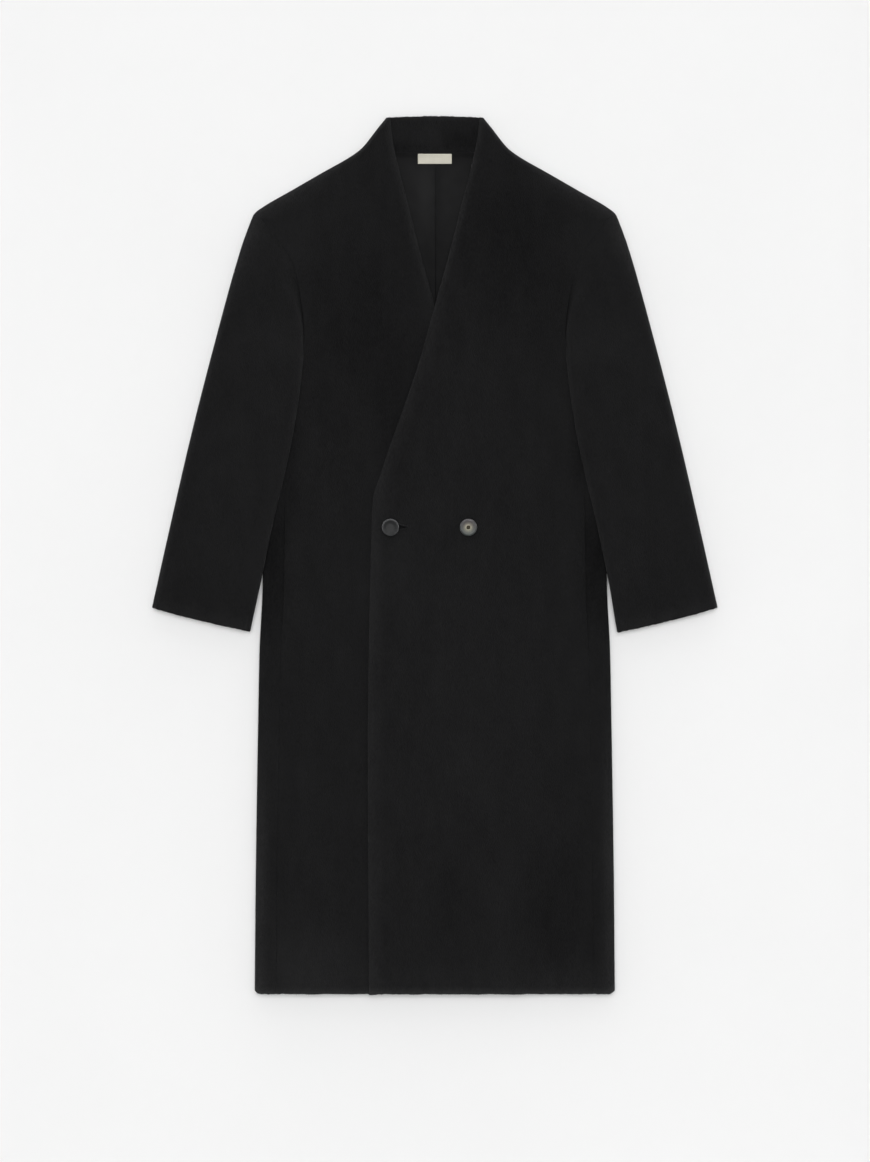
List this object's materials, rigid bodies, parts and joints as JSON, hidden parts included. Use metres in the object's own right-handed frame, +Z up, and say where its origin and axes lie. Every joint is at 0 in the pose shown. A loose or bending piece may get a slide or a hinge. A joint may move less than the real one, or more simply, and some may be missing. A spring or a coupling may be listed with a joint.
{
  "type": "lapelless coat laid flat",
  "caption": "Long black wool coat without lapels, laid flat on its back: V neck with a grown-on collar, set-in sleeves, and a left-over-right front closed by a button at the waist.",
  "frame": {"origin": "middle of the coat's box, on the surface that it lies on", "axes": "+X towards the wearer's left sleeve, +Y from hem to collar, +Z up off the surface"},
  "size_m": [0.8186, 1.2727, 0.016],
  "materials": {
    "wool_shell": "black brushed wool with a short soft nap",
    "lining_satin": "black satin lining with a low sheen",
    "label_cloth": "bare cream woven tape",
    "button_dark": "dark grey horn-like resin, polished rim",
    "button_horn": "grey-olive horn-like resin, polished rim"
  },
  "bodies": {
    "root": {"back": "wool_shell", "front_right": "wool_shell", "front_left": "wool_shell", "sleeve_right_upper": "wool_shell", "sleeve_right_under": "wool_shell", "sleeve_left_upper": "wool_shell", "sleeve_left_under": "wool_shell", "neck_facing": "wool_shell", "back_lining": "lining_satin", "label": "label_cloth", "button_fastened": "button_dark", "button_outer": "button_horn"}
  },
  "joints": []
}
